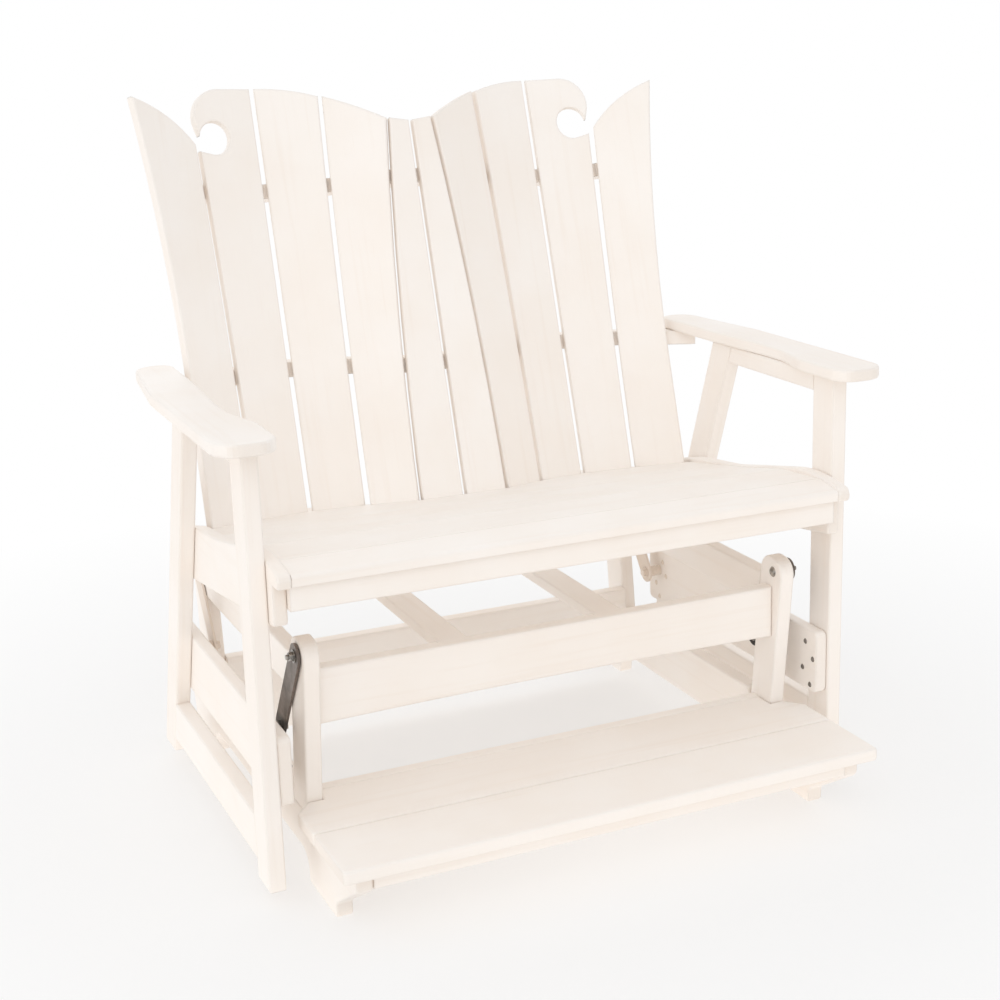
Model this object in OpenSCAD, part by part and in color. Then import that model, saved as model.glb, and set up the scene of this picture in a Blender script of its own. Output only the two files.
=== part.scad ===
// Counter-height glider bench: a still base with a footrest, and a seat frame
// that swings on four steel links. Millimetres, +Z up, front towards -Y.
// Front-to-back places are measured from the front foot; every piece is then
// shifted so that the origin is the middle of the floor under the bench.

/* [Boards] */
// Thickness of the frame boards
frame_t = 32; // [28:0.5:34]
// Thickness of the footrest slats
footrest_t = 26; // [20:0.5:30]
// Thickness of the seat slats
seat_t = 22; // [18:0.5:26]
// Thickness of the seat's side panels and of the hanger boards
panel_t = 26; // [20:0.5:30]
// Thickness of the back slats
back_t = 20; // [16:0.5:24]
// Thickness of the arm boards
arm_t = 25; // [20:0.5:30]
// Thickness of the rails behind the back slats
rail_t = 30; // [24:0.5:34]
// Radius of the eased edges
edge_r = 4; // [2:0.5:5]
// Radius of the eased edges of the seat slats, which lie close together
seat_edge_r = 2; // [1:0.5:3]

/* [Base] */
// Width of the base over its side rails
base_w = 1028; // [800:1:1300]
// Length of the base along the floor, foot to foot
base_l = 978; // [940:1:1060]
// Length of the front foot
front_foot_l = 157; // [120:1:180]
// Length of the rear foot
rear_foot_l = 146; // [110:1:170]
// Height of the arch under the side rails
arch_h = 56; // [40:1:70]
// Height of the side rails behind the footrest
rail_h = 168; // [160:1:190]
// Reach of the rail noses ahead of the front foot
nose_l = 123; // [100:1:140]
// Reach of the rail tails behind the rear foot
tail_l = 28; // [15:1:40]
// Height of the boards between the tops of the posts, at the sides
side_rail_h = 75; // [50:1:90]
// Height of the boards between the front posts, and between the rear ones
stretcher_h = 108; // [80:1:130]
// Height of the low board between the rear feet
low_stretcher_h = 184; // [140:1:200]
// Width of the two flat crosspieces
crosspiece_w = 60; // [40:1:90]
// Thickness of the two flat crosspieces
crosspiece_t = 24; // [18:1:30]
// Distance from the middle to the centre of a crosspiece
crosspiece_x = 169; // [100:1:250]

/* [Posts and footrest] */
// Depth of a post
post_w = 78; // [60:1:84]
// Lean of a post, its top towards the nearer end of the bench
post_lean = 7; // [3:0.5:8]
// Height of the posts above the upper pivots
post_rise = 29; // [26:0.5:40]
// Rounding of the tops of the posts
post_r = 32; // [20:1:36]
// Height of the footrest
footrest_h = 163.5; // [155:0.5:166]
// Reach of the footrest ahead of the front foot
footrest_l = 150; // [135:1:170]
// Overhang of the footrest past the side rails
footrest_side = 29; // [15:1:31]
// Height of the board on edge behind the footrest
footrest_back_h = 70; // [50:1:78]

/* [Links] */
// Height of the upper pivots
pivot_z = 450; // [440:1:465]
// Front upper pivot behind the front of the front foot
pivot_y = 145; // [138:1:160]
// Distance between the front and rear upper pivots
pivot_span = 746; // [710:1:770]
// Length of a link, pivot to pivot
link_l = 222; // [205:1:230]
// Lean of the front links, their lower end towards the middle
front_lean = 35; // [30:0.5:38]
// Lean of the rear links, their lower end towards the middle
rear_lean = 36; // [25:0.5:38]
// Width of a link
link_w = 47; // [36:1:54]
// Thickness of a link
link_t = 5; // [3:0.5:7]
// Diameter of the pivot bolts
bolt_d = 9.5; // [8:0.5:12]
// Gap between the base and the swinging frame, at each side
swing_gap = 38; // [32:0.5:44]

/* [Swinging frame] */
// Height of the underside of the legs at rest
leg_lift = 34; // [32:1:45]
// Depth of a front leg
front_leg_w = 74; // [60:1:90]
// Front legs behind the front of the front foot
front_leg_y = 81; // [70:1:95]
// Depth of a rear leg, measured level
rear_leg_w = 79; // [60:1:90]
// Front edge of a rear leg at its foot, behind the front of the front foot
rear_leg_y = 800; // [785:1:825]
// Lean of the rear legs, their tops forward
rear_leg_lean = 21.6; // [18:0.1:24]
// Height of the underside of the hanger boards
hanger_z = 191; // [180:1:200]
// Depth of the hanger boards
hanger_h = 132; // [120:1:150]
// Front of the hanger boards behind the front of the front foot
hanger_y = 86; // [80:1:95]
// Length of the hanger boards
hanger_l = 724; // [700:1:760]
// Height of the low rails between the legs
low_rail_h = 88; // [60:1:110]
// Height of the rails under the arms
arm_rail_h = 39; // [30:1:60]

/* [Arms] */
// Height of the arms
arm_h = 878; // [840:1:900]
// Width of an arm at its front
arm_w = 111; // [100:1:120]
// Width of an arm at its waist
arm_waist = 87; // [80:1:100]
// Overhang of an arm past the leg
arm_side = 54; // [40:1:60]
// Front of the arms behind the front of the front foot
arm_y = 20; // [10:1:40]
// Length of an arm
arm_l = 752; // [735:1:780]

/* [Seat] */
// Gap between neighbouring seat slats
seat_gap = 1.5; // [1:0.5:4]
// Height of the apron under the front of the seat
apron_h = 50; // [40:1:60]
// Depth of the cleats under the seat slats
cleat_h = 36; // [25:1:45]
// Height of the side panels above the slats
panel_rise = 4; // [2:0.5:8]

/* [Back] */
// Height of the top of the back
back_h = 1411; // [1350:1:1480]
// Slope of the back, in degrees from upright
recline = 17; // [14:0.5:20]
// Front of the ridge in the middle of the back at seat height
back_y = 605; // [600:1:612]
// Depth of the dish on each side of the ridge
dish = 84; // [60:1:90]
// Gap between neighbouring back slats
back_gap = 8.5; // [5:0.5:12]
// Width of the rails behind the slats
rail_w = 46; // [36:1:60]
// Radius of the curl at the top of the back
curl_r = 56; // [50:1:58]
// Radius of the round hollow inside the curl
hollow_r = 33; // [29:1:35]

/* [Fasteners] */
// Diameter of the round head of an upper pivot bolt
bolt_head_d = 22; // [18:0.5:26]
// Diameter of the washers
washer_d = 25; // [20:0.5:28]
// Thickness of the washers
washer_t = 1.6; // [1:0.1:2.5]
// Diameter of the head of a hanger screw
screw_head_d = 12; // [10:0.5:14]
// Diameter of the shank of a hanger screw
screw_d = 6; // [5:0.5:8]

/* [Hidden] */
$fn = 40;
board_tone = "#f5ede5";
slat_tone = "#faf4ee";
steel_tone = "#6e645e";
zinc_tone = "#b9b4ad";

// Steps in the rounding of an eased edge
ease_steps = 2;
// Least area of a triangle that a flat face is cut into, and what stands for
// a corner that can't be cut off
cut_area = 0.001;
no_cut = 100000;
// Radial running fit of a bolt in its bore
fit = 0.1;
// Side play of a link between its washers
play = 0.3;
// Extra size of a cutter past the face that it cuts, and the reach of the cuts
// along the back slats' faces
over = 60;
cut_reach = 160;
// Extra radius of the rear links' lower bores
slack = 4;
// Depth of a hanger screw in the leg, and of a lower pivot bolt in the hanger board
screw_deep = 24;
pivot_deep = 20;
// Rounding of the hanger boards' corners
hanger_r = 13;
// Heads, nuts and ends of the pivot bolts, and the sleeves of the lower ones
bolt_head_h = 5.5;
nut_d = 18;
nut_h = 8;
bolt_end = 5;
spacer_d = 24;
// Height of a hanger screw's head
screw_head_h = 3;

// Side rails: rounding of the feet's corners, height where the tail starts,
// height of the nose's end, and height where the nose meets the foot
foot_r = 7;
tail_z = 79;
nose_h = 33;
nose_root_z = 30;
// A post's centre line passes this far behind its pivot
post_set = 7;
// Tops of the boards between the posts below the upper pivots
side_rail_drop = 12;
stretcher_drop = 32;
// Rise of the hollow under a stretcher
stretcher_bow = 6;
// Tops of the flat crosspieces below the tops of the stretchers
crosspiece_drop = 36;
// Height of the underside of the low board between the rear feet
low_stretcher_z = 38;
// Half of the joint between the footrest's slats, its place, and the rear edge
joint_half = 1;
footrest_joint = 17;
footrest_rear_y = 191;
// Gap round a post where the rear slat is notched
notch_gap = 0.5;
// Underside of the low rails above the underside of the legs
low_rail_rise = 36;
// Places of a leg's four hanger screws: behind its front edge, above the hanger's foot
screws = [[46, 103], [18, 72], [55, 44], [27, 14]];

// Levels across the bench, from the middle outwards
base_out = base_w / 2;
base_in = base_out - frame_t;
link_in = base_out + washer_t + play;
link_out = link_in + link_t;
hanger_in = base_out + swing_gap;
leg_in = hanger_in + panel_t;
leg_out = leg_in + frame_t;
panel_in = leg_in - panel_t;
arm_out = leg_out + arm_side;

// The origin is half-way between the footrest's front and the rail's tail
mid_y = (base_l + tail_l - footrest_l) / 2;

// Heights and places of the base
footrest_z = footrest_h - footrest_t;
rear_pivot_y = pivot_y + pivot_span;
post_top = pivot_z + post_rise;
side_rail_z = pivot_z - side_rail_drop - side_rail_h;
stretcher_z = pivot_z - stretcher_drop - stretcher_h;
crosspiece_z = stretcher_z + stretcher_h - crosspiece_drop - crosspiece_t;
post_foot_back = post_edges(footrest_z)[1];
rear_foot_y = base_l - rear_foot_l;
footrest_out = base_out + footrest_side;

// Lower pivots
front_low = [pivot_y + link_l * sin(front_lean), pivot_z - link_l * cos(front_lean)];
rear_low = [rear_pivot_y - link_l * sin(rear_lean), pivot_z - link_l * cos(rear_lean)];

// Heights of the swinging frame
arm_z = arm_h - arm_t;
low_rail_z = leg_lift + low_rail_rise;
front_leg_back = front_leg_y + front_leg_w;

// The seat's joint lines at the top of its slats, front to back
seat_line = [[17, 640], [86.5, 651], [218, 641], [349, 614], [481, 591], [700, 554]];
apron_y = 34;
apron_t = 26;
// Rear end of the cleats and the batten ahead of the ridge of the back
under_seat_end = 27;
// Extra depth of the batten, next to the cleats
batten_more = 10;

// Shares of the half width where one back slat ends and the next begins
foot_split = [0, 0.184, 0.372, 0.587, 0.802, 1];
head_split = [0, 0.082, 0.325, 0.578, 0.836, 1.075];
// Bow of the same lines away from the middle
split_bow = [0, 10, 4, 0, -4, 0];
// Shares of the dish's depth along the same lines
foot_dish = [0, 0, 0.63, 1, 0.68, 0.2];
head_dish = [0, 0, 0.64, 1, 0.66, -0.25];
// Heights between which the lines of the back run, and the foot of the slats
back_z0 = 560;
back_z1 = back_h - 11;
back_foot_z = 516;
// Height at which back_y is measured
ridge_z = 588;
// Half width of the back at its foot
back_half = panel_in - 14;
// Height where the outer edge of the back starts to flare
flare_z = 818;
// Tops of the lines between the slats, below the top of the back, and how far
// the tops of the plain slats rise between them
crown = [72, 66, 20.5, 3];
crown_rise = [0, 3, 5];
// Rails behind the back slats
lower_rail_z = 520;
middle_rail_z = arm_z - rail_t;
upper_rail_z = back_h - 197;

// The pieces, each by its name

// Small functions

function unit(v) = v / norm(v);
function flat(p) = [p[0], p[1]];
function left_of(v) = [-v[1], v[0]];

// How many chords a rounding of radius r gets
function chords(r) = r < 10 ? 3 : r < 30 ? 5 : 8;

// Points of one rounded corner b between a and c
function corner(a, b, c, r) = r == 0 ? [b] :
    let (
        u = unit(a - b),
        v = unit(c - b),
        half = acos(u * v) / 2,
        centre = b + unit(u + v) * r / sin(half),
        p = b + u * r / tan(half) - centre,
        q = b + v * r / tan(half) - centre,
        start = atan2(p[1], p[0]),
        turn = atan2(cross(p, q), p * q),
        n = chords(r)
    )
    [for (i = [0 : n]) centre + r * [cos(start + turn * i / n), sin(start + turn * i / n)]];

// Outline from points [x, y, corner radius]
function rounded(points) =
    let (n = len(points))
    [for (i = [0 : n - 1])
        each corner(flat(points[(i + n - 1) % n]), flat(points[i]), flat(points[(i + 1) % n]), points[i][2])];

// A rectangle with its corners rounded
function box_outline(x0, y0, x1, y1, r) = rounded([[x0, y0, r], [x1, y0, r], [x1, y1, r], [x0, y1, r]]);

// Arc round a centre
function arc(centre, r, from, to, n) =
    [for (i = [0 : n]) centre + r * [cos(from + (to - from) * i / n), sin(from + (to - from) * i / n)]];

// Shallow curve from a to b that rises to the left of its chord
function bowed(a, b, rise, n) =
    [for (i = [0 : n]) a + (b - a) * i / n + left_of(unit(b - a)) * 4 * rise * (i / n) * (1 - i / n)];

// Anticlockwise outline moved inwards by d
function inset(outline, d) =
    let (n = len(outline))
    [for (i = [0 : n - 1])
        let (
            p = outline[i],
            n1 = left_of(unit(p - outline[(i + n - 1) % n])),
            n2 = left_of(unit(outline[(i + 1) % n] - p))
        )
        p + d * (n1 + n2) / (1 + n1 * n2)];

// Point of an open line moved to its right by d, square to the bend
function below(line, i, d) =
    let (
        a = left_of(unit(line[max(i, 1)] - line[max(i, 1) - 1])),
        b = left_of(unit(line[min(i, len(line) - 2) + 1] - line[min(i, len(line) - 2)]))
    )
    line[i] - d * (a + b) / (1 + a * b);

// Height of a line of points at y
function height_at(line, y, i = 0) =
    y <= line[i + 1][0] || i + 2 >= len(line)
        ? line[i][1] + (y - line[i][0]) * (line[i + 1][1] - line[i][1]) / (line[i + 1][0] - line[i][0])
        : height_at(line, y, i + 1);

// Twice the area of the triangle abc, positive where it runs anticlockwise
function turn_of(a, b, c) = cross(b - a, c - a);

// Whether corner k of a polygon can be cut off as a triangle: it is convex and
// holds no other corner
function can_cut(p, ids, k) =
    let (n = len(ids), a = p[ids[(k + n - 1) % n]], b = p[ids[k]], c = p[ids[(k + 1) % n]])
    turn_of(a, b, c) > cut_area && len([for (j = [2 : n - 2])
        let (q = p[ids[(k + j) % n]])
        if (turn_of(a, b, q) >= 0 && turn_of(b, c, q) >= 0 && turn_of(c, a, q) >= 0) j]) == 0;

// Triangles that fill a polygon, cut off one by one, the shortest cut first
function triangles(p, ids) = len(ids) == 3 ? [ids] :
    let (
        n = len(ids),
        cuts = [for (k = [0 : n - 1])
            can_cut(p, ids, k) ? norm(p[ids[(k + 1) % n]] - p[ids[(k + n - 1) % n]]) : no_cut],
        k = search(min(cuts), cuts)[0]
    )
    [
        [ids[(k + n - 1) % n], ids[k], ids[(k + 1) % n]],
        each triangles(p, [for (j = [0 : n - 1]) if (j != k) ids[j]])
    ];

// Building blocks

// A board from its outline, with its edges eased all round
module board(outline, t, r = edge_r) {
    n = len(outline);
    flat_face = triangles(inset(outline, r), [for (i = [0 : n - 1]) i]);
    turns = [for (s = [0 : ease_steps]) 90 * s / ease_steps];
    rings = concat(
        [for (a = turns) [r * (1 - sin(a)), r * (1 - cos(a))]],
        [for (i = [ease_steps : -1 : 0]) [r * (1 - sin(turns[i])), t - r * (1 - cos(turns[i]))]]
    );
    points = [for (ring = rings) for (p = inset(outline, ring[0])) [p[0], p[1], ring[1]]];
    last = (len(rings) - 1) * n;
    faces = concat(
        flat_face,
        [for (k = [0 : len(rings) - 2]) for (i = [0 : n - 1])
            [k * n + i, (k + 1) * n + i, (k + 1) * n + (i + 1) % n, k * n + (i + 1) % n]],
        [for (f = flat_face) [last + f[2], last + f[1], last + f[0]]]
    );
    polyhedron(points, faces);
}

// A board that stands front to back, its outline in [y, z]
module side_board(outline, x, t, r = edge_r)
    translate([x, 0, 0]) rotate([90, 0, 90]) board(outline, t, r);

// A straight board across the bench, between x0 and x1, its section in [y, z]
module cross_board(section, x0, x1)
    translate([x0, 0, 0]) rotate([90, 0, 90]) linear_extrude(x1 - x0) polygon(section);

// A rod along X, from x0 to x1
module rod(at, x0, x1, d)
    translate([x0, at[0], at[1]]) rotate([0, 90, 0]) cylinder(d = d, h = x1 - x0);

// A washer along X, one solid with its bolt
module washer(at, x0) rod(at, x0, x0 + washer_t, washer_d);

// Colour and place of every piece
module piece(tone) color(tone) translate([0, -mid_y, 0]) children();

// The right-hand form, or its mirror image on the left
module on_side(side)
    if (side < 0) mirror([1, 0, 0]) children();
    else children();

// The base

// Side rail: nose under the footrest, arch between two feet
module base_rail(side) piece(board_tone) on_side(side)
    side_board(rounded([
        [0, 0, foot_r],
        [front_foot_l, 0, foot_r],
        [front_foot_l + 2, arch_h, 34],
        [rear_foot_y - 2, arch_h, 46],
        [rear_foot_y, 0, foot_r],
        [base_l, 0, foot_r],
        [base_l + tail_l, tail_z, 20],
        [base_l + tail_l, rail_h, 40],
        [post_foot_back + 12, rail_h, 8],
        [post_foot_back, footrest_z, 0],
        [-nose_l, footrest_z, 0],
        [-nose_l, footrest_z - nose_h, 20],
        [-1, nose_root_z, 14]
    ]), base_in, frame_t);

// Edges of a front post at height z, as [front, back]
function post_line(z) = pivot_y + post_set + (pivot_z - z) * tan(post_lean);
function post_edges(z) = [post_line(z) - post_w / 2 / cos(post_lean), post_line(z) + post_w / 2 / cos(post_lean)];

// Outline of a front post that stands at height z
function post_outline(z) =
    let (
        top = [post_line(post_top), post_top],
        half = post_w / 2 * [cos(post_lean), sin(post_lean)]
    )
    rounded([
        [post_edges(z)[0], z, 0],
        [post_edges(z)[1], z, 0],
        [(top + half)[0], (top + half)[1], post_r],
        [(top - half)[0], (top - half)[1], post_r]
    ]);

// What stands at the rear is the front's mirror image about the pivots' middle
module at_end(rear)
    if (rear) translate([0, pivot_y + rear_pivot_y, 0]) mirror([0, 1, 0]) children();
    else children();

// Post with the bore of its pivot bolt
module base_post(side, rear) piece(board_tone) on_side(side) at_end(rear)
    difference() {
        side_board(post_outline(rear ? rail_h : footrest_z), base_in, frame_t);
        rod([pivot_y, pivot_z], base_in - over, base_out + over, bolt_d + 2 * fit);
    }

// Board between the front and rear post of one side
module base_side_rail(side) piece(board_tone) on_side(side) {
    z0 = side_rail_z;
    z1 = side_rail_z + side_rail_h;
    sum = pivot_y + rear_pivot_y;
    side_board([
        [post_edges(z0)[1], z0],
        [sum - post_edges(z0)[1], z0],
        [sum - post_edges(z1)[1], z1],
        [post_edges(z1)[1], z1]
    ], base_in, frame_t);
}

// Board between the posts, a little hollow below
module stretcher()
    translate([0, pivot_y + frame_t, 0]) rotate([90, 0, 0])
        board(concat(
            bowed([-base_in, stretcher_z], [base_in, stretcher_z], stretcher_bow, 10),
            [[base_in, stretcher_z + stretcher_h], [-base_in, stretcher_z + stretcher_h]]
        ), frame_t);
module base_stretcher_front() piece(board_tone) stretcher();
module base_stretcher_rear() piece(board_tone) at_end(true) stretcher();

// Low board between the rear feet
module base_stretcher_low() piece(board_tone)
    cross_board(box_outline(rear_foot_y - frame_t, low_stretcher_z, rear_foot_y,
        low_stretcher_z + low_stretcher_h, edge_r), -base_in, base_in);

// Flat crosspiece from the front stretcher to the rear one
module base_crosspiece(side) piece(board_tone) on_side(side) {
    y0 = pivot_y + frame_t;
    y1 = pivot_y + rear_pivot_y - y0;
    translate([crosspiece_x, y0, crosspiece_z]) rotate([-90, 0, 0])
        linear_extrude(y1 - y0)
            polygon(box_outline(-crosspiece_w / 2, -crosspiece_t, crosspiece_w / 2, 0, edge_r));
}

// The footrest

module footrest_slat_front() piece(slat_tone)
    translate([0, 0, footrest_z])
        board(box_outline(-footrest_out, -footrest_l, footrest_out, footrest_joint - joint_half, 8), footrest_t, 5);

// The rear slat is notched for the posts, and its outer corners are cut off
module footrest_slat_rear() piece(slat_tone) {
    y0 = footrest_joint + joint_half;
    front = post_edges(footrest_h)[0] - notch_gap;
    inner = base_in - notch_gap;
    half = [
        [footrest_out, y0, 6],
        [footrest_out, front - 38, 14],
        [base_out - 4, front, 6],
        [inner, front, 0],
        [inner, footrest_rear_y, 0]
    ];
    left = [for (i = [len(half) - 1 : -1 : 0]) [-half[i][0], half[i][1], half[i][2]]];
    translate([0, 0, footrest_z]) board(rounded(concat(half, left)), footrest_t);
}

// Board on edge behind the footrest, between the front posts
module footrest_back_board() piece(board_tone)
    cross_board(box_outline(footrest_rear_y + 0.5, footrest_h - footrest_back_h,
        footrest_rear_y + 0.5 + footrest_t, footrest_h, edge_r), -base_in, base_in);

// Low board under the footrest's front, between the rail noses
module footrest_front_board() piece(board_tone)
    cross_board(box_outline(-nose_l - 3, footrest_z - nose_h + 3, -nose_l - 3 + footrest_t, footrest_z, edge_r),
        -base_in, base_in);

// The links and their bolts

// Flat steel link between its two bores
module link(side, rear) piece(steel_tone) on_side(side) {
    up = rear ? [rear_pivot_y, pivot_z] : [pivot_y, pivot_z];
    low = rear ? rear_low : front_low;
    along = unit(low - up);
    wide = left_of(along) * link_w / 2;
    difference() {
        union() {
            rod(up, link_in, link_out, link_w);
            rod(low, link_in, link_out, link_w);
            translate([link_in, 0, 0]) rotate([90, 0, 90]) linear_extrude(link_t)
                polygon([up - wide, up + wide, low + wide, low - wide]);
        }
        rod(up, link_in - over, link_out + over, bolt_d + 2 * fit);
        rod(low, link_in - over, link_out + over, bolt_d + 2 * (rear ? slack : fit));
    }
}

// Round-headed bolt, washers and nut at each upper pivot
module upper_pivot_bolts() piece(zinc_tone)
    for (side = [-1, 1], rear = [false, true]) on_side(side) {
        at = [rear ? rear_pivot_y : pivot_y, pivot_z];
        nut_x = link_out + play + washer_t;
        rod(at, base_in, nut_x + nut_h + bolt_end, bolt_d);
        translate([base_in, at[0], at[1]]) rotate([0, -90, 0]) dome(bolt_head_d, bolt_head_h);
        washer(at, base_out);
        washer(at, link_out + play);
        nut(at, nut_x);
    }

// Low dome on a flat round face
module dome(d, h) {
    r = (d * d / 4 + h * h) / 2 / h;
    rotate_extrude() polygon(concat([[0, 0]], arc([0, h - r], r, asin((r - h) / r), 90, 10)));
}

// Hexagon nut round a bolt
module nut(at, x)
    translate([x, at[0], at[1]]) rotate([0, 90, 0]) cylinder(d = nut_d, h = nut_h, $fn = 6);

// Bolt at each lower pivot, driven from the inside into the hanger board
module lower_pivot_bolts() piece(zinc_tone)
    for (side = [-1, 1], rear = [false, true]) on_side(side) {
        at = rear ? rear_low : front_low;
        washer_x = link_in - play - washer_t;
        rod(at, washer_x, hanger_in + pivot_deep, bolt_d);
        washer(at, washer_x);
        nut(at, washer_x - nut_h);
    }

// Sleeve that keeps each link clear of the hanger board
module lower_pivot_spacers() piece(zinc_tone)
    for (side = [-1, 1], rear = [false, true]) on_side(side) {
        at = rear ? rear_low : front_low;
        difference() {
            rod(at, link_out + play, hanger_in, spacer_d);
            rod(at, link_out - over, hanger_in + over, bolt_d);
        }
    }

// The swinging frame

// Front edge of a rear leg at height z
function rear_leg_edge(z) = rear_leg_y - (z - leg_lift) * tan(rear_leg_lean);

// Place of a leg's hanger screw i
function screw_at(rear, i) =
    let (z = hanger_z + screws[i][1])
    [(rear ? rear_leg_edge(z) : front_leg_y) + screws[i][0], z];

// Bores of the hanger screws at both legs
module screw_bores()
    for (rear = [false, true], i = [0 : len(screws) - 1])
        rod(screw_at(rear, i), hanger_in - over, leg_in + screw_deep, screw_d);

module leg_front(side) piece(board_tone) on_side(side)
    difference() {
        side_board([
            [front_leg_y, leg_lift],
            [front_leg_back, leg_lift],
            [front_leg_back, arm_z],
            [front_leg_y, arm_z]
        ], leg_in, frame_t);
        screw_bores();
    }

module leg_rear(side) piece(board_tone) on_side(side)
    difference() {
        side_board([
            [rear_leg_edge(leg_lift), leg_lift],
            [rear_leg_edge(leg_lift) + rear_leg_w, leg_lift],
            [rear_leg_edge(arm_z) + rear_leg_w, arm_z],
            [rear_leg_edge(arm_z), arm_z]
        ], leg_in, frame_t);
        screw_bores();
    }

// Board between the legs of one side, from height z0 to z1
module between_legs(z0, z1)
    side_board([
        [front_leg_back, z0],
        [rear_leg_edge(z0), z0],
        [rear_leg_edge(z1), z1],
        [front_leg_back, z1]
    ], leg_in, frame_t);
module low_rail(side) piece(board_tone) on_side(side) between_legs(low_rail_z, low_rail_z + low_rail_h);
module arm_rail(side) piece(board_tone) on_side(side) between_legs(arm_z - arm_rail_h, arm_z);

// Board inside the legs that hangs on the links' lower pivots
module hanger_board(side) piece(board_tone) on_side(side)
    difference() {
        side_board(box_outline(hanger_y, hanger_z, hanger_y + hanger_l, hanger_z + hanger_h, hanger_r),
            hanger_in, panel_t);
        for (at = [front_low, rear_low])
            rod(at, hanger_in - over, hanger_in + pivot_deep, bolt_d);
        screw_bores();
    }

// Screws that hold the hanger boards to the legs
module hanger_screws() piece(steel_tone)
    for (side = [-1, 1], rear = [false, true], i = [0 : len(screws) - 1]) on_side(side) {
        at = screw_at(rear, i);
        rod(at, hanger_in, leg_in + screw_deep, screw_d);
        translate([hanger_in, at[0], at[1]]) rotate([0, -90, 0]) dome(screw_head_d, screw_head_h);
    }

// Flat arm board: broad at the front, a waist behind, the rear end rounded in
module arm(side) piece(slat_tone) on_side(side) {
    front_in = arm_out - arm_w;
    waist_in = arm_out - arm_waist;
    rear = arm_y + arm_l;
    translate([0, 0, arm_z])
        board(rounded([
            [front_in, arm_y, 40],
            [arm_out, arm_y, 46],
            [arm_out, rear - 270, 240],
            [arm_out - 30, rear, 44],
            [front_in + 6, rear, 30],
            [waist_in - 12, rear - 250, 200],
            [waist_in, rear - 430, 160],
            [waist_in, arm_y + 250, 90],
            [front_in, arm_y + 150, 70]
        ]), arm_t, edge_r + 1);
}

// The seat

// Height of the seat's surface, d below the tops of its slats
function seat_z(y, d) = height_at([for (i = [0 : len(seat_line) - 1]) below(seat_line, i, d)], y);

// Side panel: nose with a step below it, dished top edge
module seat_side(side) piece(slat_tone) on_side(side) {
    top = panel_rise - 4;
    side_board(rounded([
        [53, 542, 8],
        [640, 462, 20],
        [712, 478, 20],
        [706, 555 + top, 12],
        [585, 584 + top, 200],
        [425, 602 + top, 300],
        [130, 661 + top, 350],
        [22, 645 + top, 12],
        [15, 631 + top, 8],
        [18, 617, 7],
        [53, 617, 0]
    ]), panel_in, panel_t);
}

// Section of slat i, from one joint line to the next
function seat_section(i, d) =
    let (
        along = unit(seat_line[i + 1] - seat_line[i]),
        a = seat_line[i] + along * (i == 0 ? 0 : seat_gap / 2),
        b = seat_line[i + 1] - along * (i + 2 == len(seat_line) ? 0 : seat_gap / 2),
        da = below(seat_line, i, d) - seat_line[i],
        db = below(seat_line, i + 1, d) - seat_line[i + 1]
    )
    [a + da, b + db, b, a];
function with_radii(points, radii) = [for (i = [0 : len(points) - 1]) [points[i][0], points[i][1], radii[i]]];

module seat_slat(i) piece(slat_tone)
    cross_board(rounded(with_radii(seat_section(i, seat_t),
        [seat_edge_r, seat_edge_r, seat_edge_r, i == 0 ? 8 : seat_edge_r])), -panel_in, panel_in);

// The rear slat's back edge follows the fronts of the back slats
module seat_slat_rear()
    difference() {
        seat_slat(4);
        piece(slat_tone) for (side = [-1, 1], i = [0 : 4]) on_side(side) in_slat(i)
            slat_block(i, seat_line[5][1], -cut_reach, 0, slope(i) >= slope(i + 1));
    }

module seat_apron() piece(slat_tone) {
    y1 = apron_y + apron_t;
    z0 = seat_z(apron_y, seat_t) - apron_h;
    cross_board(rounded([
        [apron_y, z0, edge_r],
        [y1, z0, edge_r],
        [y1, seat_z(y1, seat_t), 0],
        [apron_y, seat_z(apron_y, seat_t), 0]
    ]), -panel_in, panel_in);
}

// Board on edge under the slats, from the apron back
module under_seat(x0, x1, h) {
    y0 = apron_y + apron_t;
    y1 = back_y - under_seat_end;
    cross_board(concat(
        [[y0, seat_z(y0, seat_t + h)]],
        [for (i = [1 : 4]) below(seat_line, i, seat_t + h)],
        [[y1, seat_z(y1, seat_t + h)], [y1, seat_z(y1, seat_t)]],
        [for (i = [4 : -1 : 1]) below(seat_line, i, seat_t)],
        [[y0, seat_z(y0, seat_t)]]
    ), x0, x1);
}
module seat_cleats() piece(board_tone)
    for (side = [-1, 1]) on_side(side) under_seat(panel_in - frame_t, panel_in, cleat_h);
module seat_batten() piece(board_tone) under_seat(-frame_t / 2, frame_t / 2, cleat_h + batten_more);

// The back: five flat slats on each side of the middle, set in a dish

// Line i between the slats, seen from the front, at height z
function split_x(i, z) =
    let (up = (z - back_z0) / (back_z1 - back_z0))
    back_half * (foot_split[i] + (head_split[i] - foot_split[i]) * up) + 4 * split_bow[i] * up * (1 - up);

// Rise of slat i's face to the back, per millimetre outwards
function slope(i) = i > 4 ? -9 :
    let (
        foot = (foot_dish[i + 1] - foot_dish[i]) / (foot_split[i + 1] - foot_split[i]),
        head = (head_dish[i + 1] - head_dish[i]) / (head_split[i + 1] - head_split[i])
    )
    dish * (foot + head) / 2 / back_half;

// Foot of slat i's middle: across, back, up
function foot_x(i) = (split_x(i, back_z0) + split_x(i + 1, back_z0)) / 2;
function head_x(i) = (split_x(i, back_z1) + split_x(i + 1, back_z1)) / 2;
function foot_y(i) = back_y + dish * (foot_dish[i] + foot_dish[i + 1]) / 2;
function head_y(i) = back_y + dish * (head_dish[i] + head_dish[i + 1]) / 2;

// Slat i's own tilt from upright, and its turn about its length
function tilt(i) = atan(tan(recline)
    + (head_y(i) - foot_y(i) - slope(i) * (head_x(i) - foot_x(i))) / (back_z1 - back_z0));
function twist(i) = atan(slope(i) * cos(tilt(i)));

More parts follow.
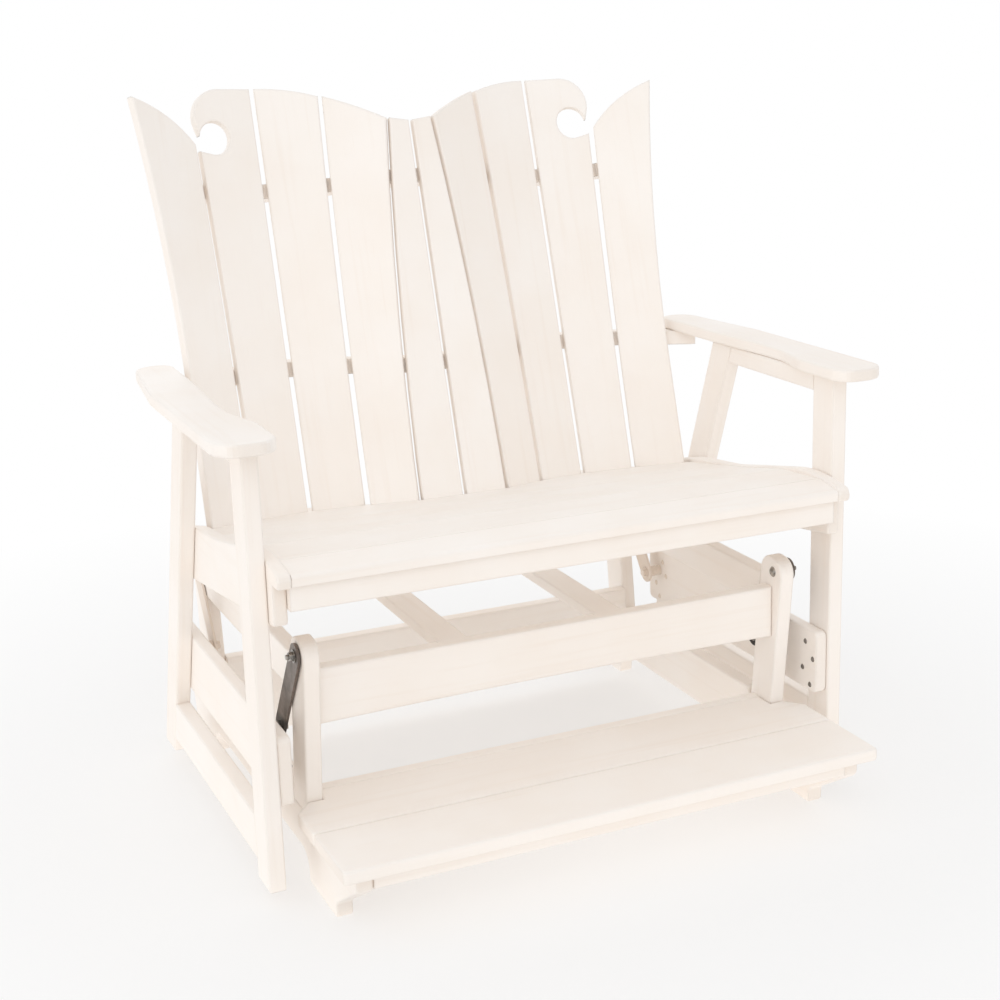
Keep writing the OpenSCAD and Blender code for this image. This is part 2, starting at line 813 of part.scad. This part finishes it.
// A point of the front view, [x, z], laid on slat i's face
function on_slat(i, p) = [
    (p[0] - foot_x(i)) / cos(twist(i)),
    slope(i) * (p[0] - foot_x(i)) * sin(tilt(i)) + (p[1] - back_z0) / cos(tilt(i))
];

// Slat i's own frame: across, up along the slat, and out to the front
module in_slat(i)
    translate([foot_x(i), foot_y(i) + tan(recline) * (back_z0 - ridge_z), back_z0])
        rotate([90 - tilt(i), 0, 0]) rotate([0, twist(i), 0]) children();

// A block in slat i's frame round height z, from depth d0 to d1. It runs on far
// past the slat's lines on the sides that are open, and to the gaps' ends elsewhere
module slat_block(i, z, d0, d1, right_open, left_open = false) {
    a = on_slat(i, [split_x(i, z) - (left_open ? over : back_gap / 2), z]);
    b = on_slat(i, [split_x(i + 1, z) + (right_open ? over : back_gap / 2), z]);
    middle = (a[1] + b[1]) / 2;
    translate([a[0], middle - 1.5 * over, d0]) cube([b[0] - a[0], 3 * over, d1 - d0]);
}

// Edges of slat i at height z, and up to height z in a few steps
function left_x(i, z) = split_x(i, z) + back_gap / 2;
function right_x(i, z) = split_x(i + 1, z) - back_gap / 2;
function levels(i, z) =
    let (n = split_bow[i] == 0 ? 1 : 6)
    [for (k = [0 : n]) back_foot_z + (z - back_foot_z) * k / n];
function right_edge(i, z) = [for (h = levels(i + 1, z)) [right_x(i, h), h]];
function left_edge(i, z) =
    let (up = levels(i, z), n = len(up))
    [for (k = [n - 1 : -1 : 0]) [left_x(i, up[k]), up[k]]];

// Outline of a plain slat, seen from the front
function plain_outline(i) =
    let (
        z0 = back_h - crown[i],
        z1 = back_h - crown[i + 1],
        top = bowed([right_x(i, z1), z1], [left_x(i, z0), z0], -crown_rise[i], 6)
    )
    concat(
        right_edge(i, z1),
        crown_rise[i] == 0 ? [] : [for (k = [1 : 5]) top[k]],
        left_edge(i, z0)
    );

// Outline of the slat that ends in a curl round a hollow
function curl_outline(i) =
    let (
        x1 = right_x(i, back_h - 121),
        hollow = [x1 - 36, back_h - 97],
        curl = [x1 + 5 - curl_r, back_h - curl_r]
    )
    concat(
        right_edge(i, back_h - 121),
        arc(hollow, hollow_r, -80, -350, 16),
        arc(curl, curl_r, -20, 90, 9),
        left_edge(i, back_h - 3)
    );

// Outline of the outer slat, which ends in a fin
function fin_outline(i) =
    let (
        tip = [back_half * head_split[i + 1], back_h - 6],
        z0 = back_h - 107
    )
    concat(
        [[back_half, back_foot_z]],
        bowed([back_half, flare_z], tip, 10, 8),
        [for (k = [1 : 7]) bowed(tip, [left_x(i, z0), z0], -12, 8)[k]],
        left_edge(i, z0)
    );

function slat_outline(i) = i < 3 ? plain_outline(i) : i == 3 ? curl_outline(i) : fin_outline(i);

module back_slat(side, i) piece(slat_tone) on_side(side) in_slat(i)
    translate([0, 0, -back_t]) board([for (p = slat_outline(i)) on_slat(i, p)], back_t, edge_r - 0.5);

// Front of the back's ridge at height z
function ridge_at(z) = back_y + tan(recline) * (z - ridge_z);

// Front line of the back at height z over the lines between the slats,
// counted back from the ridge
function back_line(z) =
    [for (i = [0 : 5])
        let (up = (z - back_z0) / (back_z1 - back_z0))
        [split_x(i, z), dish * (foot_dish[i] + (head_dish[i] - foot_dish[i]) * up)]];

// Rail behind the slats from height z, its back leaning down by lean. Its front
// is cut to the slats' backs and its rear follows them, out to half_w
module back_rail(z, half_w, lean = 0) piece(board_tone) {
    line = back_line(z);
    inner = [for (i = [1 : 4]) [line[i][0], line[i][1] * cos(lean)]];
    end_y = line[5][1] * cos(lean);
    front = concat(inner, half_w > line[5][0] ? [[line[5][0], end_y]] : [], [[half_w, end_y]]);
    n = len(front);
    rear = back_t + rail_w;
    difference() {
        translate([0, ridge_at(z), z]) rotate([-lean, 0, 0]) linear_extrude(rail_t) polygon(concat(
            [for (i = [n - 1 : -1 : 0]) [-front[i][0], front[i][1]]],
            front,
            [for (i = [n - 1 : -1 : 0]) front[i] + [0, rear]],
            [for (i = [0 : n - 1]) [-front[i][0], front[i][1] + rear]]
        ));
        for (side = [-1, 1], i = [0 : 4]) on_side(side) in_slat(i)
            slat_block(i, z + rail_t / 2, -back_t, cut_reach,
                i == 4 || slope(i) < slope(i + 1), i > 0 && slope(i - 1) < slope(i));
    }
}

module back_rail_lower() back_rail(lower_rail_z, panel_in);
module back_rail_middle() back_rail(middle_rail_z, leg_out - 4);
module back_rail_upper() back_rail(upper_rail_z, back_half - 6, recline);

base_rail(-1);  // base_rail_left
base_rail(1);  // base_rail_right
base_post(-1, false);  // base_post_front_left
base_post(1, false);  // base_post_front_right
base_post(-1, true);  // base_post_rear_left
base_post(1, true);  // base_post_rear_right
base_side_rail(-1);  // base_side_rail_left
base_side_rail(1);  // base_side_rail_right
base_stretcher_front();
base_stretcher_rear();
base_stretcher_low();
base_crosspiece(-1);  // base_crosspiece_left
base_crosspiece(1);  // base_crosspiece_right
footrest_slat_front();
footrest_slat_rear();
footrest_back_board();
footrest_front_board();
link(-1, false);  // link_front_left
link(1, false);  // link_front_right
link(-1, true);  // link_rear_left
link(1, true);  // link_rear_right
upper_pivot_bolts();
lower_pivot_bolts();
lower_pivot_spacers();
leg_front(-1);  // leg_front_left
leg_front(1);  // leg_front_right
leg_rear(-1);  // leg_rear_left
leg_rear(1);  // leg_rear_right
low_rail(-1);  // low_rail_left
low_rail(1);  // low_rail_right
arm_rail(-1);  // arm_rail_left
arm_rail(1);  // arm_rail_right
hanger_board(-1);  // hanger_board_left
hanger_board(1);  // hanger_board_right
hanger_screws();
arm(-1);  // arm_left
arm(1);  // arm_right
seat_side(-1);  // seat_side_left
seat_side(1);  // seat_side_right
seat_slat(0);  // seat_slat_nose
seat_slat(1);  // seat_slat_1
seat_slat(2);  // seat_slat_2
seat_slat(3);  // seat_slat_3
seat_slat_rear();
seat_apron();
seat_cleats();
seat_batten();
back_slat(-1, 0);  // back_slat_left_1
back_slat(-1, 1);  // back_slat_left_2
back_slat(-1, 2);  // back_slat_left_3
back_slat(-1, 3);  // back_slat_left_4
back_slat(-1, 4);  // back_slat_left_5
back_slat(1, 0);  // back_slat_right_1
back_slat(1, 1);  // back_slat_right_2
back_slat(1, 2);  // back_slat_right_3
back_slat(1, 3);  // back_slat_right_4
back_slat(1, 4);  // back_slat_right_5
back_rail_lower();
back_rail_middle();
back_rail_upper();
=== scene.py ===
"""Looks of the counter-height glider: moulded-lumber boards, steel links and zinc hardware."""

import math

import bpy
from mathutils import Matrix, Vector

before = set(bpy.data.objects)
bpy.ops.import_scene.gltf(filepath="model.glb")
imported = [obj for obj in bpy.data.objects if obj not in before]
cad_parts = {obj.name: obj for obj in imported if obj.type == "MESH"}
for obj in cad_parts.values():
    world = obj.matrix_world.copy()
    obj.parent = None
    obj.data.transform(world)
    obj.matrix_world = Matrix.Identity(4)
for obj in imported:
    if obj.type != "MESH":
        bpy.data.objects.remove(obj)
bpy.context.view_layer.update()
scene = bpy.context.scene

# The camera, found from the photograph: place in metres, turn, tilt and roll in
# degrees, focal length and the middle of its axis in pixels of a 1000 pixel frame
CAMERA_AT = (-1.331, -3.1594, 1.547)
CAMERA_TURN, CAMERA_TILT, CAMERA_ROLL = -26.672, -15.007, -0.768
FOCAL = 1748.6
AXIS = (609.6, 483.7)
FRAME_SIDE = 1000
SENSOR = 36
CLIP_END = 100


def camera():
    turn, tilt, roll = (math.radians(a) for a in (CAMERA_TURN, CAMERA_TILT, CAMERA_ROLL))
    ahead = Vector((-math.sin(turn) * math.cos(tilt), math.cos(turn) * math.cos(tilt), math.sin(tilt)))
    right = Vector((math.cos(turn), math.sin(turn), 0))
    up = right.cross(ahead)
    x = right * math.cos(roll) + up * math.sin(roll)
    y = up * math.cos(roll) - right * math.sin(roll)
    data = bpy.data.cameras.new("camera")
    data.sensor_fit = "HORIZONTAL"
    data.sensor_width = SENSOR
    data.lens = FOCAL * SENSOR / FRAME_SIDE
    data.shift_x = (FRAME_SIDE / 2 - AXIS[0]) / FRAME_SIDE
    data.shift_y = (AXIS[1] - FRAME_SIDE / 2) / FRAME_SIDE
    data.clip_end = CLIP_END
    cam = bpy.data.objects.new("camera", data)
    scene.collection.objects.link(cam)
    cam.matrix_world = Matrix.Translation(CAMERA_AT) @ Matrix((x, y, -ahead)).transposed().to_4x4()
    scene.camera = cam


def srgb(r, g, b):
    """A colour written as 0 to 255, as linear values."""
    def linear(v):
        v /= 255
        return v / 12.92 if v <= 0.04045 else ((v + 0.055) / 1.055) ** 2.4
    return (linear(r), linear(g), linear(b), 1)


BEVEL_SAMPLES = 4
AO_SAMPLES = 6


class Tree:
    """A small helper that adds nodes to a material or world and links them."""

    def __init__(self, owner):
        owner.use_nodes = True
        self.tree = owner.node_tree
        self.tree.nodes.clear()

    def add(self, kind, inputs=None, **settings):
        node = self.tree.nodes.new(kind)
        for name, value in settings.items():
            setattr(node, name, value)
        for name, value in (inputs or {}).items():
            if isinstance(value, bpy.types.NodeSocket):
                self.tree.links.new(value, node.inputs[name])
            else:
                node.inputs[name].default_value = value
        return node

    def math(self, operation, a, b=None, clamp=False):
        node = self.add("ShaderNodeMath", operation=operation, use_clamp=clamp)
        for i, value in enumerate((a, b)):
            if value is None:
                continue
            if isinstance(value, bpy.types.NodeSocket):
                self.tree.links.new(value, node.inputs[i])
            else:
                node.inputs[i].default_value = value
        return node.outputs[0]

    def mix(self, share, a, b):
        node = self.add("ShaderNodeMix", data_type="RGBA")
        for i, value in ((0, share), (6, a), (7, b)):
            if isinstance(value, bpy.types.NodeSocket):
                self.tree.links.new(value, node.inputs[i])
            else:
                node.inputs[i].default_value = value
        return node.outputs[2]

    def band(self, value, low, high, to_low=0.0, to_high=1.0):
        node = self.add("ShaderNodeMapRange", {
            "Value": value, "From Min": low, "From Max": high, "To Min": to_low, "To Max": to_high,
        })
        return node.outputs["Result"]

    def noise(self, at, scale, detail=2.0, rough=0.5):
        node = self.add("ShaderNodeTexNoise", {
            "Vector": at, "Scale": scale, "Detail": detail, "Roughness": rough,
        })
        return node.outputs["Fac"]

    def dot(self, socket, direction):
        """How far a direction from a socket agrees with a socket or a fixed direction."""
        node = self.add("ShaderNodeVectorMath", operation="DOT_PRODUCT")
        self.tree.links.new(socket, node.inputs[0])
        if isinstance(direction, bpy.types.NodeSocket):
            self.tree.links.new(direction, node.inputs[1])
        else:
            node.inputs[1].default_value = direction
        return node.outputs["Value"]

    def painted_shade_ao(self, reach):
        """1 in the open, towards 0 in hollows and corners: the mask for painted shade."""
        return self.add("ShaderNodeAmbientOcclusion", {"Distance": reach}, samples=AO_SAMPLES).outputs["AO"]

    def edges(self, radius):
        """1 on sharp edges and corners, 0 on flat faces, and the rounded normal."""
        bevel = self.add("ShaderNodeBevel", {"Radius": radius}, samples=BEVEL_SAMPLES)
        sharp = self.add("ShaderNodeNewGeometry").outputs["Normal"]
        return self.band(self.dot(bevel.outputs[0], sharp), 0.995, 0.9), bevel.outputs[0]

    def bump(self, height, distance, normal, strength=1.0):
        node = self.add("ShaderNodeBump", {
            "Height": height, "Distance": distance, "Strength": strength, "Normal": normal,
        })
        return node.outputs[0]


# Moulded lumber: its tones, one of them for both darker grain and painted shade, and how it changes over a
# board
LUMBER = srgb(250, 245, 240)
LUMBER_WARM = srgb(248, 241, 234)
LUMBER_GRAIN_AND_SHADE = srgb(236, 222, 208)
LUMBER_END = srgb(242, 233, 224)
LUMBER_EDGE = srgb(251, 247, 243)
# Sizes of its patterns, as repeats in a metre, and how far the grain is drawn out
GRAIN_SCALE, STREAK_SCALE, CLOUD_SCALE, PEEL_SCALE, PORE_SCALE = 420, 60, 5.5, 620, 750
DRAWN_OUT = 0.035
# Depths of its relief, the radius of its edges and the reach of the painted shade in its hollows, in metres
GRAIN_DEPTH, STREAK_DEPTH, PEEL_DEPTH, PORE_DEPTH = 0.00018, 0.0005, 0.00006, 0.0006
BOARD_EDGE, TIGHT_EDGE = 0.0035, 0.002
BOARD_SHADE_REACH = 0.03


def lumber(name, along, edge):
    """Moulded lumber whose faint grain runs along a direction."""
    material = bpy.data.materials.new(name)
    t = Tree(material)
    place = t.add("ShaderNodeTexCoord")
    turn = Vector(along).to_track_quat("X", "Z").inverted().to_euler()
    board = t.add("ShaderNodeMapping", {"Vector": place.outputs["Object"], "Rotation": turn})
    own = t.add("ShaderNodeObjectInfo").outputs["Random"]
    apart = t.add("ShaderNodeVectorMath", {"Vector": board.outputs[0]}, operation="ADD")
    shift = t.add("ShaderNodeCombineXYZ", {
        "X": t.math("MULTIPLY", own, 7.0), "Y": t.math("MULTIPLY", own, 3.0), "Z": own,
    })
    t.tree.links.new(shift.outputs[0], apart.inputs[1])
    at = apart.outputs[0]
    stretched = t.add("ShaderNodeMapping", {"Vector": at, "Scale": (DRAWN_OUT, 1, 1)}).outputs[0]
    grain = t.noise(stretched, GRAIN_SCALE, 4, 0.6)
    streak = t.noise(stretched, STREAK_SCALE, 3, 0.55)
    cloud = t.noise(at, CLOUD_SCALE, 3, 0.5)
    peel = t.noise(at, PEEL_SCALE, 2, 0.5)
    pores = t.add("ShaderNodeTexVoronoi", {"Vector": at, "Scale": PORE_SCALE}).outputs["Distance"]

    facing = t.dot(place.outputs["Normal"], Vector(along).normalized())
    end = t.band(t.math("ABSOLUTE", facing), 0.82, 0.93)
    edge_mask, rounded = t.edges(edge)
    painted_shade_ao = t.painted_shade_ao(BOARD_SHADE_REACH)

    colour = t.mix(t.band(cloud, 0.35, 0.65), LUMBER, LUMBER_WARM)
    colour = t.mix(t.band(own, 0.0, 1.0, 0.0, 0.3), colour, LUMBER_WARM)
    colour = t.mix(t.band(streak, 0.56, 0.72, 0.0, 0.16), colour, LUMBER_GRAIN_AND_SHADE)
    colour = t.mix(t.band(grain, 0.6, 0.78, 0.0, 0.14), colour, LUMBER_GRAIN_AND_SHADE)
    colour = t.mix(t.math("MULTIPLY", end, t.band(pores, 0.1, 0.5, 0.95, 0.5)), colour, LUMBER_END)
    worn = t.math("MULTIPLY", edge_mask, t.band(t.noise(at, 38, 3, 0.6), 0.35, 0.65, 0.15, 0.7))
    colour = t.mix(worn, colour, LUMBER_EDGE)
    # Painted shade: the board darkens in hollows, corners and the joints between boards
    colour = t.mix(t.band(painted_shade_ao, 0.6, 0.1, 0.0, 0.45), colour, LUMBER_GRAIN_AND_SHADE)

    rough = t.band(cloud, 0.3, 0.7, 0.46, 0.54)
    rough = t.math("ADD", rough, t.band(grain, 0.3, 0.8, -0.04, 0.06))
    rough = t.math("ADD", rough, t.math("MULTIPLY", end, 0.16))
    rough = t.math("SUBTRACT", rough, t.math("MULTIPLY", worn, 0.1), clamp=True)

    normal = t.bump(peel, PEEL_DEPTH, rounded, 0.6)
    normal = t.bump(grain, GRAIN_DEPTH, normal, 0.7)
    normal = t.bump(streak, STREAK_DEPTH, normal, 0.35)
    normal = t.bump(t.math("MULTIPLY", pores, end), PORE_DEPTH, normal, 0.6)
    shader = t.add("ShaderNodeBsdfPrincipled", {
        "Base Color": colour, "Roughness": rough, "Normal": normal, "IOR": 1.5, "Specular IOR Level": 0.4,
    })
    t.add("ShaderNodeOutputMaterial", {"Surface": shader.outputs[0]})
    return material


# Hardware behind this line across the bench carries the pale coat of the boards
COAT_FROM, COAT_TO = 0.0, 0.02
COAT = srgb(232, 219, 206)


def coated(t, at, colour):
    """The colour with the pale coat on the rear half, and where that coat is."""
    depth = t.add("ShaderNodeSeparateXYZ", {"Vector": at}).outputs["Y"]
    pale = t.band(depth, COAT_FROM, COAT_TO)
    return t.mix(pale, colour, COAT), pale


# Steel of the links: darker coat, brighter edges, and a near-black tone for painted shade and shadow
STEEL = srgb(132, 122, 115)
STEEL_DARK = srgb(98, 89, 83)
STEEL_EDGE = srgb(176, 168, 160)
PAINTED_DEEP_SHADE = srgb(24, 21, 20)
# Heights between which the lower end of a link turns dark with a painted shadow, and the radius of its edges
PAINTED_SHADOW_TOP, PAINTED_SHADOW_FOOT = 0.302, 0.288
LINK_EDGE = 0.0012


def link_steel(name):
    material = bpy.data.materials.new(name)
    t = Tree(material)
    at = t.add("ShaderNodeTexCoord").outputs["Object"]
    drawn = t.add("ShaderNodeMapping", {"Vector": at, "Scale": (1, 0.2, 0.06)}).outputs[0]
    cloud = t.noise(at, 24, 4, 0.6)
    fine = t.noise(at, 900, 2, 0.5)
    brushed = t.noise(drawn, 700, 3, 0.6)
    edge_mask, rounded = t.edges(LINK_EDGE)
    worn = t.math("MULTIPLY", edge_mask, t.band(t.noise(at, 90, 3, 0.6), 0.35, 0.6, 0.2, 0.9))
    colour = t.mix(t.band(cloud, 0.35, 0.65), STEEL, STEEL_DARK)
    colour = t.mix(t.band(brushed, 0.55, 0.8, 0.0, 0.25), colour, STEEL_EDGE)
    colour = t.mix(worn, colour, STEEL_EDGE)
    height = t.add("ShaderNodeSeparateXYZ", {"Vector": at}).outputs["Z"]
    # Painted shadow: the lower end of each link darkens to near black
    colour = t.mix(t.band(height, PAINTED_SHADOW_TOP, PAINTED_SHADOW_FOOT, 0.0, 0.85), colour, PAINTED_DEEP_SHADE)
    colour, pale = coated(t, at, colour)
    rough = t.math("ADD", t.band(cloud, 0.3, 0.7, 0.38, 0.5), t.band(brushed, 0.3, 0.7, -0.06, 0.06))
    normal = t.bump(brushed, 0.00008, t.bump(fine, 0.00005, rounded, 0.5), 0.5)
    shader = t.add("ShaderNodeBsdfPrincipled", {
        "Base Color": colour, "Roughness": rough, "Normal": normal, "Metallic": t.band(pale, 0, 1, 0.65, 0.0),
    })
    t.add("ShaderNodeOutputMaterial", {"Surface": shader.outputs[0]})
    return material


# Zinc-plated bolts, nuts, washers and screws, with painted highlights on their edges and painted shade in
# their hollows
ZINC = srgb(190, 186, 180)
ZINC_DARK = srgb(104, 98, 92)
ZINC_PAINTED_HIGHLIGHT = srgb(236, 233, 228)
ZINC_ROUNDING = 0.0007
ZINC_SHADE_REACH = 0.006


def zinc(name, dark):
    """Zinc plating, of which at least the share dark is its darker tone."""
    material = bpy.data.materials.new(name)
    t = Tree(material)
    at = t.add("ShaderNodeTexCoord").outputs["Object"]
    cloud = t.noise(at, 160, 3, 0.6)
    spangle = t.add("ShaderNodeTexVoronoi", {"Vector": at, "Scale": 900}).outputs["Distance"]
    edge_mask, rounded = t.edges(ZINC_ROUNDING)
    painted_shade_ao = t.painted_shade_ao(ZINC_SHADE_REACH)
    colour = t.mix(t.band(cloud, 0.35, 0.65, dark, 1.0), ZINC, ZINC_DARK)
    # Painted highlight: the hardware is lighter on all its edges
    colour = t.mix(t.math("MULTIPLY", edge_mask, 0.6), colour, ZINC_PAINTED_HIGHLIGHT)
    # Painted shade: near black in the hollows and corners of the hardware
    colour = t.mix(t.band(painted_shade_ao, 0.8, 0.3, 0.0, 0.9), colour, PAINTED_DEEP_SHADE)
    colour, pale = coated(t, at, colour)
    rough = t.math("ADD", t.band(cloud, 0.3, 0.7, 0.18, 0.32), t.band(spangle, 0.0, 0.6, -0.03, 0.05))
    normal = t.bump(spangle, 0.00003, rounded, 0.5)
    shader = t.add("ShaderNodeBsdfPrincipled", {
        "Base Color": colour, "Roughness": rough, "Normal": normal, "Metallic": t.band(pale, 0, 1, 0.9, 0.0),
    })
    t.add("ShaderNodeOutputMaterial", {"Surface": shader.outputs[0]})
    return material


# Directions of the grain
LEG_LEAN = math.radians(21.6)
POST_LEAN = math.radians(7)
RECLINE = math.radians(17)
ACROSS, LENGTHWISE, UPRIGHT = (1, 0, 0), (0, 1, 0), (0, 0, 1)
GRAIN = {
    "base_post_front": ("post_front", (0, -math.sin(POST_LEAN), math.cos(POST_LEAN))),
    "base_post_rear": ("post_rear", (0, math.sin(POST_LEAN), math.cos(POST_LEAN))),
    "leg_front": ("upright", UPRIGHT),
    "leg_rear": ("leg_rear", (0, -math.sin(LEG_LEAN), math.cos(LEG_LEAN))),
    "back_slat": ("back", (0, math.sin(RECLINE), math.cos(RECLINE))),
    "base_stretcher": ("across", ACROSS),
    "footrest": ("across", ACROSS),
    "seat_slat": ("across", ACROSS),
    "seat_apron": ("across", ACROSS),
    "back_rail": ("across", ACROSS),
}


def grain_of(node):
    for start, answer in GRAIN.items():
        if node.startswith(start):
            return answer
    return ("lengthwise", LENGTHWISE)


def finish_of(node):
    """The name of a node's material, what makes it, and what that is given."""
    if node.startswith("link_"):
        return "link_steel", link_steel, ()
    if node == "hanger_screws":
        return "screw_steel", zinc, (0.5,)
    if node.startswith(("upper_pivot", "lower_pivot")):
        return "zinc_hardware", zinc, (0.0,)
    way, along = grain_of(node)
    tight = node.startswith(("seat_slat", "seat_cleats", "seat_batten"))
    name = "lumber_" + way + ("_tight" if tight else "")
    return name, lumber, (along, TIGHT_EDGE if tight else BOARD_EDGE)


def dress():
    made = {}
    for node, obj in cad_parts.items():
        name, make, given = finish_of(node)
        if name not in made:
            made[name] = make(name, *given)
        if not obj.material_slots:
            obj.data.materials.append(made[name])
        for slot in obj.material_slots:
            slot.material = made[name]


def area_light(name, at, to, size, power):
    data = bpy.data.lights.new(name, "AREA")
    data.shape = "SQUARE"
    data.size = size
    data.energy = power
    lamp = bpy.data.objects.new(name, data)
    lamp.location = at
    lamp.rotation_mode = "QUATERNION"
    lamp.rotation_quaternion = (Vector(to) - Vector(at)).to_track_quat("-Z", "Y")
    scene.collection.objects.link(lamp)


# Strength of the sky and of the lit floor for the light that they throw on the object
SKY = 0.92
FLOOR_BOUNCE = 1.22
BOUNCE_TINT = (1.0, 0.965, 0.93, 1)
WHITE = (1, 1, 1, 1)


def seen_by(t, path):
    """1 for rays that show the surroundings, in the picture or in gloss."""
    seen = t.math("MAXIMUM", path["Is Camera Ray"], path["Is Glossy Ray"])
    return t.math("MAXIMUM", seen, path["Is Transmission Ray"])


def studio():
    scene.world = bpy.data.worlds.new("studio")
    w = Tree(scene.world)
    path = w.add("ShaderNodeLightPath").outputs
    level = w.band(seen_by(w, path), 0, 1, SKY, 1.0)
    sky = w.add("ShaderNodeBackground", {"Color": WHITE, "Strength": level})
    w.add("ShaderNodeOutputWorld", {"Surface": sky.outputs[0]})
    area_light("key", (-1.5, -3.7, 3.2), (0, 0, 0.6), 2.4, 20)
    area_light("side", (-4.4, -1.2, 1.0), (0, 0, 0.6), 3.0, 18)
    area_light("back", (0.8, 4.4, 1.6), (0, 0, 0.7), 3.0, 12)


# Half width of the floor, between which distances it turns plain white, and the share
# of plain white under the object, so that its shadow stays faint
FLOOR_HALF = 16
WHITE_FROM, WHITE_TO = 1.0, 2.3
FLOOR_LIFT = 0.4
FLOOR_TONE = (0.9, 0.9, 0.9, 1)


def floor():
    mesh = bpy.data.meshes.new("floor")
    corners = [(x * FLOOR_HALF, y * FLOOR_HALF, 0) for x, y in ((-1, -1), (1, -1), (1, 1), (-1, 1))]
    mesh.from_pydata(corners, [], [(0, 1, 2, 3)])
    plane = bpy.data.objects.new("floor", mesh)
    scene.collection.objects.link(plane)
    material = bpy.data.materials.new("floor")
    t = Tree(material)
    at = t.add("ShaderNodeTexCoord").outputs["Object"]
    reach = t.add("ShaderNodeVectorMath", {"Vector": at}, operation="LENGTH").outputs["Value"]
    path = t.add("ShaderNodeLightPath").outputs
    far = t.math("MULTIPLY", seen_by(t, path), t.band(reach, WHITE_FROM, WHITE_TO, FLOOR_LIFT, 1.0))
    bounce = path["Is Diffuse Ray"]
    plain = t.math("MAXIMUM", far, bounce)
    matte = t.add("ShaderNodeBsdfDiffuse", {"Color": FLOOR_TONE})
    white = t.add("ShaderNodeEmission", {
        "Color": t.mix(bounce, WHITE, BOUNCE_TINT), "Strength": t.band(bounce, 0, 1, 1.0, FLOOR_BOUNCE),
    })
    both = t.add("ShaderNodeMixShader")
    t.tree.links.new(plain, both.inputs[0])
    t.tree.links.new(matte.outputs[0], both.inputs[1])
    t.tree.links.new(white.outputs[0], both.inputs[2])
    t.add("ShaderNodeOutputMaterial", {"Surface": both.outputs[0]})
    mesh.materials.append(material)


camera()
dress()
studio()
floor()
scene.view_settings.view_transform = "Standard"
